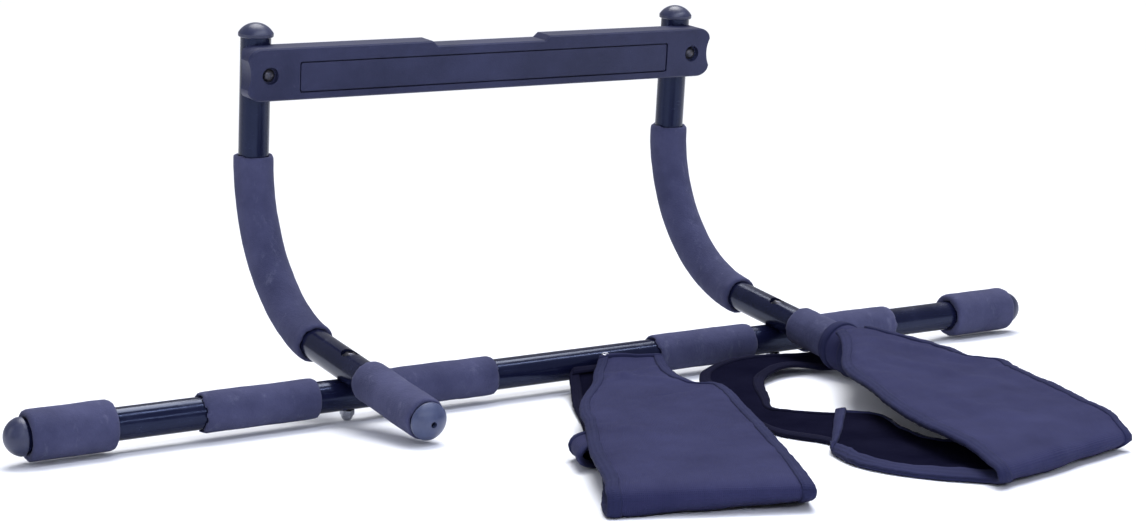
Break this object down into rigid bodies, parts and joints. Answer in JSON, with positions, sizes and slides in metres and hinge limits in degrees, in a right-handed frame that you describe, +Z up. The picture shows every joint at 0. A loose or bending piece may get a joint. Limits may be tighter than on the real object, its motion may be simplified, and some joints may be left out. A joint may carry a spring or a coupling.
{
  "type": "pull up bar",
  "caption": "Doorway pull up bar: padded main bar, forward handles, hooked rear frame with a plastic door rest, and fabric ab slings lying below it.",
  "frame": {"origin": "centre of the underside of the whole part's box, on the floor that the slings lie on", "axes": "+X along the main bar towards the handle that carries the open sling, +Y back towards the hooks and the door rest, +Z up"},
  "size_m": [0.977, 0.6866, 0.3121],
  "materials": {
    "gloss_coat": "gloss powder coat",
    "foam": "matte closed-cell foam",
    "cap_plastic": "satin moulded",
    "moulded_plastic": "fine satin moulded",
    "black_steel": "black oxide, semi-gloss",
    "zinc_steel": "bright zinc plate",
    "sling_fabric": "woven nylon over thin padding",
    "webbing": "doubled woven nylon"
  },
  "bodies": {
    "frame": {"center_tube": "gloss_coat", "left_outer_tube": "gloss_coat", "left_hook_tube": "gloss_coat", "left_end_grip": "foam", "left_outer_grip": "foam", "left_inner_grip": "foam", "left_handle_grip": "foam", "left_hook_sleeve": "foam", "left_bar_end_cap": "cap_plastic", "left_handle_end_cap": "cap_plastic", "left_top_cap": "cap_plastic", "right_outer_tube": "gloss_coat", "right_hook_tube": "gloss_coat", "right_end_grip": "foam", "right_outer_grip": "foam", "right_inner_grip": "foam", "right_handle_grip": "foam", "right_hook_sleeve": "foam", "right_bar_end_cap": "cap_plastic", "right_handle_end_cap": "cap_plastic", "right_top_cap": "cap_plastic", "door_rest_beam": "moulded_plastic", "door_rest_panel": "moulded_plastic", "crossing_bolts": "black_steel", "crossing_washers": "black_steel", "crossing_nuts": "zinc_steel", "door_rest_bolts": "black_steel", "door_rest_washers": "black_steel", "door_rest_nuts": "zinc_steel"},
    "front_sling": {"front_sling_pad": "sling_fabric", "front_sling_strap": "webbing"},
    "right_sling": {"right_sling_neck": "webbing", "right_sling_pad": "sling_fabric", "right_sling_strap": "webbing"}
  },
  "joints": [
    {"name": "front_sling_slide", "type": "slide", "parent": "frame", "child": "front_sling", "axis": [-0.4384, -0.8988, 0], "range_m": [0, 0.1]},
    {"name": "right_sling_turn", "type": "hinge", "parent": "frame", "child": "right_sling", "pos_m": [0.2088, 0.17049, 0.0445], "axis": [0, 0.9803, 0.1977], "range_deg": [0, 35]}
  ]
}
